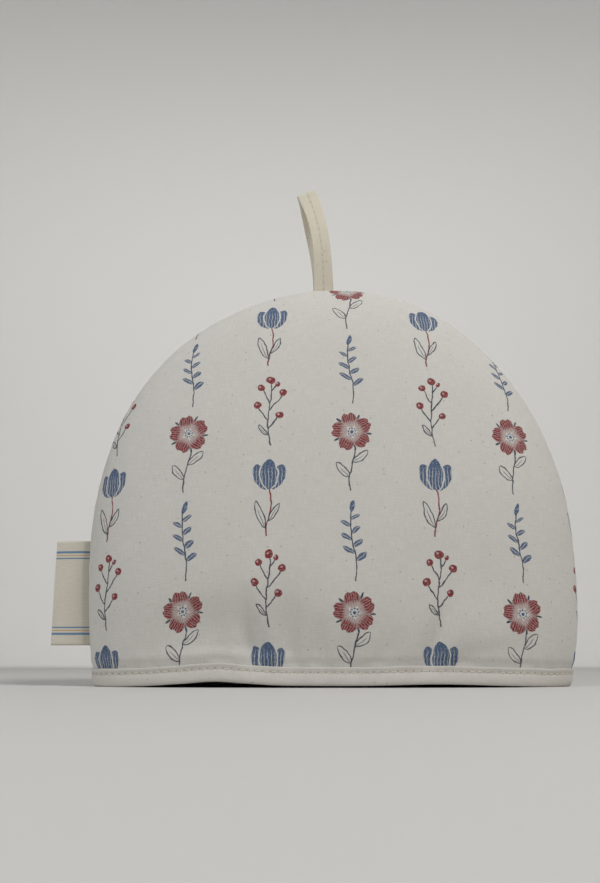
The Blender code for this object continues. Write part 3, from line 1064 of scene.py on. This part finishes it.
# Each printed stem, in millimetres before the print is sized
# bottom, top, sway, wave, start, thickness
TULIP_STALK = (-24, 3.6, 1.5, 34, 2.5, 0.9)
ROSE_STALK = (-24, 2.6, 2.0, 46, 1.1, 0.85)
LEAF_STALK = (-23, 17, -1.6, 52, 0.4, 0.8)
BERRY_STALK = (-23, 16.5, 1.1, 44, -0.4, 0.82)

TULIP_PETALS = (
    # foot_x, foot_y, turn, length, width, bend, fullness
    (-0.6, 3.5, -0.62, 16.5, 8.2, 2.4, 0.55),
    (0.6, 3.5, 0.62, 16.5, 8.2, -2.4, 0.55),
)
TULIP_HEART = (0, 3.2, 0.0, 18.5, 9.6, 0.0, 0.6)
TULIP_LEAVES = (
    (-1.2, -19.0, -0.54, 17.0, 4.8, 2.6, 0.7),
    (-0.4, -15.2, 0.70, 12.5, 3.8, -2.0, 0.7),
)


def leaf_lines(tree, petal, x, y, leaves):
    """The outlines and middle veins of a table of leaves, as one depth."""
    lines = []
    for leaf in leaves:
        inside, across, along = use(tree, petal, x, y, *leaf)
        lines.append(outlined(tree, inside))
        vein = minus(tree, 0.2, size_of(tree, across))
        short = smaller(tree, minus(tree, 0.7, along), minus(tree, inside, 0.3))
        lines.append(smaller(tree, vein, short))
    return largest(tree, lines)


def tulip_group(petal, stem):
    tree, given = new_group("Tulip", ("X", "Y"), ("Red", "Blue", "Line"))
    x, y = given["X"], given["Y"]
    heart = use(tree, petal, x, y, *TULIP_HEART)
    wings = largest(tree, [use(tree, petal, x, y, *row)["Inside"] for row in TULIP_PETALS])
    behind = times_plus(tree, heart["Inside"], -1, -0.75)
    head = larger(tree, heart["Inside"], smaller(tree, wings, behind))
    ribs = calc(tree, "COSINE", times(tree, heart["Across"], 3.4))
    ribs = ramp(tree, ribs, 0.55, 1.0, 1.0, 0.35)
    fading = ramp(tree, heart["Along"], 0.35, 1.0, 1.0, 0.0)
    ribs = larger(tree, ribs, minus(tree, 1, fading))
    blue = times(tree, inked(tree, head), ribs)
    stalk = use(tree, stem, x, y, *TULIP_STALK)["Inside"]
    line = inked(tree, leaf_lines(tree, petal, x, y, TULIP_LEAVES))
    return finish_group(tree, inked(tree, stalk), blue, line)


ROSE_MIDDLE = (0.0, 12.0)
ROSE_LEAVES = (
    (0.5, -7.0, 0.95, 11.5, 5.0, -1.2, 0.6),
    (-1.6, -15.6, -0.85, 11.5, 5.0, 1.4, 0.6),
)


def rose_group(petal, stem, berry, whorl):
    tree, given = new_group("Wild rose", ("X", "Y"), ("Red", "Blue", "Line"))
    x, y = given["X"], given["Y"]
    turned_x, turned_y = use(tree, whorl, x, y, *ROSE_MIDDLE, 5, 0.2)
    ray = use(tree, petal, turned_x, turned_y, 0, 2.9, 0, 9.2, 9.4, 0, 0.42)
    notch = use(tree, berry, turned_x, turned_y, 0, 12.9, 1.7)["Inside"]
    ring = smaller(tree, ray["Inside"], times(tree, notch, -1))
    pale = ramp(tree, ray["Along"], 0.0, 0.45, 0.45, 1.0)
    streaks = calc(tree, "COSINE", times(tree, ray["Across"], 4.6))
    streaks = ramp(tree, streaks, 0.5, 1.0, 1.0, 0.62)
    red = times(tree, inked(tree, ring), times(tree, pale, streaks))
    dots_x, dots_y = use(tree, whorl, x, y, *ROSE_MIDDLE, 9, 0.0)
    dots = use(tree, berry, dots_x, dots_y, 0, 2.3, 0.55)["Inside"]
    eye = use(tree, berry, x, y, *ROSE_MIDDLE, 1.05)["Inside"]
    blue = inked(tree, larger(tree, dots, eye))
    between_x, between_y = use(tree, whorl, x, y, *ROSE_MIDDLE, 5, 0.2 + math.pi / 5)
    sepal = use(tree, petal, between_x, between_y, 0, 8.2, 0, 3.8, 1.3, 0, 0.6)["Inside"]
    stalk = use(tree, stem, x, y, *ROSE_STALK)["Inside"]
    leaves = leaf_lines(tree, petal, x, y, ROSE_LEAVES)
    return finish_group(tree, red, blue, inked(tree, largest(tree, [sepal, stalk, leaves])))


LEAF_STEP = 7.8  # from one leaf to the next on the same side
LEAVES_REACH = 13.65  # the highest and the lowest leaf, from the sprig's middle


def leaf_sprig_group(petal, stem):
    """A bent stalk with a leaf to each side in turn, and one at its tip."""
    tree, given = new_group("Leaf sprig", ("X", "Y"), ("Red", "Blue", "Line"))
    x, y = given["X"], given["Y"]
    stalk = use(tree, stem, x, y, *LEAF_STALK)
    away = stalk["Away"]
    right = calc(tree, "GREATER_THAN", away, 0)
    climb = times_plus(tree, right, LEAF_STEP / 2, y)
    step = calc(tree, "WRAP", climb, LEAF_STEP, 0)
    foot = minus(tree, y, step)
    grown = ramp(tree, y, -22, 24, 8.8, 5.6)
    leaves = []
    veins = []
    for drop in (0, LEAF_STEP):
        up = plus(tree, step, drop)
        wide = times(tree, grown, 0.4)
        blade = use(tree, petal, size_of(tree, away), up, 0.2, 0.2, 0.82, grown, wide, 0.8, 0.62)
        off_middle = size_of(tree, minus(tree, foot, drop))
        stands = times(tree, minus(tree, LEAVES_REACH, off_middle), 2)
        leaves.append(smaller(tree, blade["Inside"], stands))
        veins.append(size_of(tree, blade["Across"]))
    tip = use(tree, petal, away, y, 0, 16.2, 0.05, 7.4, 3.1, 0, 0.62)
    whole = largest(tree, [*leaves, tip["Inside"]])
    vein = smaller(tree, *veins)
    vein = ramp(tree, vein, 0.1, 0.42, 0.45, 1.0)
    blue = times(tree, inked(tree, whole), vein)
    return finish_group(tree, 0.0, blue, inked(tree, stalk["Inside"]))


TWIGS = (
    # foot_x, foot_y, turn, length, width, bend, fullness
    (1.0, 11.2, 0.68, 5.6, 0.84, -0.7, 0.06),
    (0.3, 3.6, -0.62, 10.5, 0.84, 1.6, 0.06),
    (-0.4, -0.8, 0.78, 12.6, 0.84, -1.4, 0.06),
    (-1.0, -7.6, -0.75, 10.5, 0.84, 1.6, 0.06),
    (-0.9, -12.0, 0.80, 9.5, 0.84, -1.4, 0.06),
)
BERRIES = (
    # middle_x, middle_y, radius
    (0.4, 18.6, 2.5),
    (-5.4, 14.0, 2.2),
    (8.0, 10.6, 2.35),
    (-7.4, 2.4, 2.3),
    (5.9, -3.6, 2.1),
    (4.6, 16.6, 1.5),
)
TWIG_LEAVES = ((-0.8, -16.5, -0.85, 8.5, 3.0, 1.0, 0.7),)


def berry_sprig_group(petal, stem, berry):
    tree, given = new_group("Berry sprig", ("X", "Y"), ("Red", "Blue", "Line"))
    x, y = given["X"], given["Y"]
    fruit = largest(tree, [use(tree, berry, x, y, *row)["Inside"] for row in BERRIES])
    shine = [use(tree, berry, x, y, row[0] - 0.6, row[1] + 0.6, 0.62)["Inside"] for row in BERRIES]
    shine = ramp(tree, largest(tree, shine), -0.2, 0.25, 1.0, 0.4)
    red = times(tree, inked(tree, fruit), shine)
    stalk = use(tree, stem, x, y, *BERRY_STALK)["Inside"]
    twigs = [use(tree, petal, x, y, *row)["Inside"] for row in TWIGS]
    leaves = leaf_lines(tree, petal, x, y, TWIG_LEAVES)
    lines = largest(tree, [stalk, leaves, *twigs])
    line = times(tree, inked(tree, lines), minus(tree, 1, inked(tree, fruit)))
    return finish_group(tree, red, 0.0, line)


# Where the print starts on each panel, its repeat, and where in it each flower stands
FRONT_PRINT = (30.0, -2.0, 0.0)
BACK_PRINT = (4.0, 22.0, 0.0)
REPEAT_WIDE = 110.0
REPEAT_TALL = 120.0
MOTIF_SIZE = 1.14
TULIP_AT = (0.0, 0.0)
BERRIES_AT = (0.0, 60.0)
ROSE_AT = (55.0, 30.0)
LEAVES_AT = (55.0, 90.0)


def scatter_group():
    """Each point's place on the nearest repeat of a motif that stands at one spot in the repeat."""
    tree, given = new_group("Half drop", ("Place", "Across", "Up"), ("X", "Y"))
    x, y, _ = split(tree, given["Place"])
    x = calc(tree, "WRAP", minus(tree, x, given["Across"]), REPEAT_WIDE / 2, -REPEAT_WIDE / 2)
    y = calc(tree, "WRAP", minus(tree, y, given["Up"]), REPEAT_TALL / 2, -REPEAT_TALL / 2)
    return finish_group(
        tree, calc(tree, "DIVIDE", x, MOTIF_SIZE), calc(tree, "DIVIDE", y, MOTIF_SIZE)
    )


# The three inks
RED_INK = (0.205, 0.014, 0.020)
BLUE_INK = (0.052, 0.100, 0.195)
LINE_INK = (0.030, 0.040, 0.064)


def print_group():
    """Prints the flowers in three inks over a cloth's colour."""
    petal, stem, berry, whorl = petal_group(), stem_group(), berry_group(), whorl_group()
    motifs = (
        (tulip_group(petal, stem), TULIP_AT),
        (berry_sprig_group(petal, stem, berry), BERRIES_AT),
        (rose_group(petal, stem, berry, whorl), ROSE_AT),
        (leaf_sprig_group(petal, stem), LEAVES_AT),
    )
    scatter = scatter_group()
    tree, given = new_group("Flower print", ("Place", "Colour", "Crown"), ("Colour",))
    wobble = noise(tree, scaled(tree, given["Place"], (7, 7, 1)), 2)["Color"]
    wobble = vector_calc(tree, "SUBTRACT", wobble, (0.5, 0.5, 0.5))
    wobble = vector_calc(tree, "MULTIPLY", wobble, (2.2, 2.2, 0))
    drawn = vector_calc(tree, "ADD", given["Place"], wobble)
    inks = None
    for motif, (across, up) in motifs:
        here = use(tree, scatter, drawn, across, up)
        found = use(tree, motif, here["X"], here["Y"])
        inks = [larger(tree, old, new) for old, new in zip(inks, found)] if inks else list(found)
    mottle = noise(tree, scaled(tree, given["Place"], (1.3, 1.3, 1)), 2, 0.65)["Fac"]
    coverage = ramp(tree, mottle, 0.3, 0.55, 0.78, 1.0)
    coverage = times(tree, coverage, ramp(tree, given["Crown"], 0.0, 0.5, 0.86, 1.0))
    colour = given["Colour"]
    for amount, ink in zip(inks, (RED_INK, BLUE_INK, LINE_INK)):
        colour = blend_colour(tree, times(tree, amount, coverage), colour, ink)
    return finish_group(tree, colour)


# ---------------------------------------------------------------- the finishes
# The two thread colours of each cloth
COTTON_LIGHT = (0.685, 0.668, 0.635)
COTTON_DARK = (0.61, 0.592, 0.557)
# The tape is the panels' calico. Its colours are set darker than theirs, as painted shade along the
# hem, and a little warmer
SHADED_TAPE_LIGHT = (0.645, 0.622, 0.582)
SHADED_TAPE_DARK = (0.578, 0.553, 0.513)
STRAP_LIGHT = (0.725, 0.68, 0.57)
STRAP_DARK = (0.66, 0.612, 0.5)
RIBBON_LIGHT = (0.66, 0.622, 0.535)
RIBBON_DARK = (0.61, 0.567, 0.48)
THREAD_LIGHT = (0.76, 0.72, 0.63)
THREAD_DARK = (0.62, 0.58, 0.49)
# Colour of the cloth's flecks, also used as painted shade along each row of stitching
FLECK_AND_GROOVE_SHADE = (0.30, 0.235, 0.165)
# Painted shade in the needle holes at the two ends of each stitch
NEEDLE_HOLE_SHADE = (0.10, 0.085, 0.07)
FLOOR_PAINT = (0.63, 0.622, 0.605)

# The weave's pitch in millimetres, and how streaky its threads are
PANEL_PITCH = 0.62
PANEL_STREAKS = 1.0
TAPE_PITCH = 0.5
TAPE_STREAKS = 0.6

# Thin stripes across the ribbon, each this far in from both of its ends
LABEL_STRIPES = (
    # middle, half_width, ink
    (7.6, 0.75, (0.05, 0.17, 0.36)),
    (9.8, 0.3, (0.50, 0.30, 0.09)),
    (11.8, 0.45, (0.05, 0.17, 0.36)),
)


def cloth_shader(name, roughness, sheen):
    """A material with its cloth coordinates in millimetres, its tree and its shader."""
    material = bpy.data.materials.new(name)
    material.use_nodes = True
    tree = material.node_tree
    shader = tree.nodes["Principled BSDF"]
    shader.inputs["Roughness"].default_value = roughness
    shader.inputs["Specular IOR Level"].default_value = 0.3
    shader.inputs["Sheen Weight"].default_value = sheen
    shader.inputs["Sheen Roughness"].default_value = 0.5
    cloth = tree.nodes.new("ShaderNodeUVMap")
    cloth.uv_map = "Cloth"
    place = vector_calc(tree, "MULTIPLY", cloth.outputs[0], (1000, 1000, 1000))
    return material, tree, shader, place


def add_bump(tree, shader, height, strength=1.0):
    """Raises the surface by a height in millimetres."""
    bump = tree.nodes.new("ShaderNodeBump")
    bump.inputs["Distance"].default_value = MM
    bump.inputs["Strength"].default_value = strength
    feed(tree, bump.inputs["Height"], height)
    feed(tree, shader.inputs["Normal"], bump.outputs[0])


def cotton_material(name, weave, threads, pitch, streaks, print_on=None, offset=(0, 0, 0)):
    """Woven cotton from a light and a dark thread colour, with a print on it where one is given."""
    material, tree, shader, place = cloth_shader(name, 0.9, 0.06)
    place = vector_calc(tree, "ADD", place, offset)
    crown, tone, fleck, height = use(tree, weave, place, pitch, streaks)
    light, dark = threads
    colour = blend_colour(tree, ramp(tree, tone, -0.05, 1.05), dark, light)
    colour = blend_colour(tree, times(tree, fleck, 0.5), colour, FLECK_AND_GROOVE_SHADE)
    if print_on:
        colour = use(tree, print_on, place, colour, crown)[0]
    feed(tree, shader.inputs["Base Color"], colour)
    add_bump(tree, shader, height, 0.8)
    return material, tree, shader, place, colour


def stitched_material(name, weave, light, dark, rows, pitch, strength):
    """Cotton tape with painted shade at its stitching: a dark dot at each end of every stitch,
    where the needle holes are, and a darker band along each row.
    """
    material, tree, shader, place, colour = cotton_material(
        name, weave, (light, dark), TAPE_PITCH, TAPE_STREAKS
    )
    along, down, _ = split(tree, place)
    half = pitch / MM / 2
    spot = size_of(tree, calc(tree, "WRAP", along, half, -half))
    off_row = [size_of(tree, minus(tree, down, at / MM)) for at in rows]
    off_row = smaller(tree, *off_row)
    reach = distance(tree, spot, off_row)
    # Painted shade: dark dots in the needle holes at the stitch ends, some fainter than others
    patchy = noise(tree, scaled(tree, place, (0.09, 0.3, 1)), 1)["Fac"]
    patchy = ramp(tree, patchy, 0.4, 0.6, 0.35, 1.0)
    hole_shade = times(tree, ramp(tree, reach, 0.3, 0.75, strength, 0.0), patchy)
    # Painted shade: a darker band along each row of stitching, where the groove lies
    shade = ramp(tree, off_row, 0.2, 1.3, 0.16, 0.0)
    colour = blend_colour(tree, shade, colour, FLECK_AND_GROOVE_SHADE)
    colour = blend_colour(tree, hole_shade, colour, NEEDLE_HOLE_SHADE)
    feed(tree, shader.inputs["Base Color"], colour)
    return material


def ribbon_material():
    """A smooth ribbon with fine ribs and a few thin coloured stripes near its two ends."""
    material, tree, shader, place = cloth_shader("woven_ribbon", 0.62, 0.1)
    across, up, _ = split(tree, place)
    ribs = calc(tree, "SINE", times(tree, up, TURN / 0.55))
    grain = noise(tree, scaled(tree, place, (5, 0.6, 1)), 2)["Fac"]
    tone = times_plus(tree, ribs, 0.12, grain)
    colour = blend_colour(tree, ramp(tree, tone, 0.25, 0.8), RIBBON_DARK, RIBBON_LIGHT)
    ends = minus(tree, LABEL_TALL / MM / 2, size_of(tree, minus(tree, up, LABEL_TALL / MM / 2)))
    for middle, half, ink in LABEL_STRIPES:
        off_line = size_of(tree, minus(tree, ends, middle))
        stripe = ramp(tree, off_line, half - 0.15, half + 0.15, 0.85, 0.0)
        colour = blend_colour(tree, stripe, colour, ink)
    feed(tree, shader.inputs["Base Color"], colour)
    add_bump(tree, shader, times(tree, ribs, 0.03), 0.8)
    return material


def sewing_thread():
    found = bpy.data.materials.get("sewing_thread")
    if found:
        return found
    material = bpy.data.materials.new("sewing_thread")
    material.use_nodes = True
    tree = material.node_tree
    shader = tree.nodes["Principled BSDF"]
    shader.inputs["Roughness"].default_value = 0.6
    where = tree.nodes.new("ShaderNodeTexCoord").outputs["Object"]
    twist = noise(tree, scaled(tree, where, (0.0006, 0.0006, 0.0006)), 1)["Fac"]
    feed(tree, shader.inputs["Base Color"], blend_colour(tree, twist, THREAD_DARK, THREAD_LIGHT))
    return material


# ---------------------------------------------------------------- floor, light and camera
COOL_WHITE = (0.96, 0.98, 1)
WARM_WHITE = (1, 0.985, 0.965)
WHITE = (1, 1, 1)
ROOM_LIGHT = 0.25
COSY = (DOME_MIDDLE, 0, 0.14)
LAMPS = (
    # name, place, target, size, power, colour
    ("key_light", (0.7, -0.75, 1.4), COSY, 0.5, 13.6, WARM_WHITE),
    ("fill_light", (-1.2, -1.1, 1.0), COSY, 1.2, 9.3, COOL_WHITE),
    ("ceiling_light", (0, 0.3, 2.9), COSY, 2.6, 3, WHITE),
    ("backdrop_light", (0, 0.8, 1.5), (0, 3, 1.5), 1.8, 27, WHITE),
)


def plain_stage():
    """A pale floor that curves up into a backdrop all round."""
    deselect_all()
    bpy.ops.mesh.primitive_grid_add(x_subdivisions=96, y_subdivisions=96, size=2)
    floor = bpy.context.object
    floor.name = "floor"
    bend_length = BACKDROP_BEND * math.pi / 2
    for vert in floor.data.vertices:
        x, y = vert.co.x, vert.co.y
        round_x, round_y = x * math.sqrt(1 - y * y / 2), y * math.sqrt(1 - x * x / 2)
        share = math.hypot(round_x, round_y)
        walk = share * (FLOOR_RADIUS + bend_length + BACKDROP_TALL)
        turn = min(max((walk - FLOOR_RADIUS) / BACKDROP_BEND, 0), math.pi / 2)
        reach = min(walk, FLOOR_RADIUS) + BACKDROP_BEND * math.sin(turn)
        rise = BACKDROP_BEND * (1 - math.cos(turn)) + max(walk - FLOOR_RADIUS - bend_length, 0)
        scale = reach / max(share, 1e-9)
        vert.co = Vector((round_x * scale, round_y * scale, rise))
    for polygon in floor.data.polygons:
        polygon.use_smooth = True
    material = bpy.data.materials.new("floor_paint")
    material.use_nodes = True
    shader = material.node_tree.nodes["Principled BSDF"]
    shader.inputs["Base Color"].default_value = (*FLOOR_PAINT, 1)
    shader.inputs["Roughness"].default_value = 0.85
    floor.data.materials.append(material)


def soft_lamp(name, place, target, size, power, colour):
    lamp = bpy.data.lights.new(name, "AREA")
    lamp.shape = "DISK"
    lamp.size = size
    lamp.energy = power
    lamp.color = colour
    holder = bpy.data.objects.new(name, lamp)
    holder.location = place
    aim = Vector(target) - Vector(place)
    holder.rotation_euler = aim.to_track_quat("-Z", "Y").to_euler()
    holder.visible_camera = False
    bpy.context.scene.collection.objects.link(holder)


def studio_light():
    world = bpy.data.worlds.new("soft_room")
    world.use_nodes = True
    sky = world.node_tree.nodes["Background"].inputs
    sky["Color"].default_value = (*COOL_WHITE, 1)
    sky["Strength"].default_value = ROOM_LIGHT
    bpy.context.scene.world = world
    for row in LAMPS:
        soft_lamp(*row)


def camera():
    lens = bpy.data.cameras.new("camera")
    lens.sensor_width = SENSOR
    lens.lens = SENSOR * LENS_IN_PIXELS / FRAME_TALL
    lens.clip_start = 0.01
    holder = bpy.data.objects.new("camera", lens)
    holder.location = (DOME_MIDDLE - CAMERA_LEFT, -CAMERA_BACK, CAMERA_UP)
    holder.rotation_euler = (math.pi / 2 + CAMERA_TIP, 0, 0)
    bpy.context.scene.collection.objects.link(holder)
    bpy.context.scene.camera = holder
    bpy.context.scene.view_settings.view_transform = "Standard"


weave = weave_group()
flowers = print_group()
panel_cotton = (weave, (COTTON_LIGHT, COTTON_DARK), PANEL_PITCH, PANEL_STREAKS)
front_print = cotton_material("printed_cotton_front", *panel_cotton, flowers, FRONT_PRINT)[0]
back_print = cotton_material("printed_cotton_back", *panel_cotton, flowers, BACK_PRINT)[0]
plain = cotton_material("plain_cotton", *panel_cotton)[0]
ribbon = ribbon_material()
make_panel("front_panel", False, front_print, plain)
make_panel("back_panel", True, back_print, plain)
make_binding(weave)
make_loop(weave)
make_label(ribbon)
plain_stage()
studio_light()
camera()
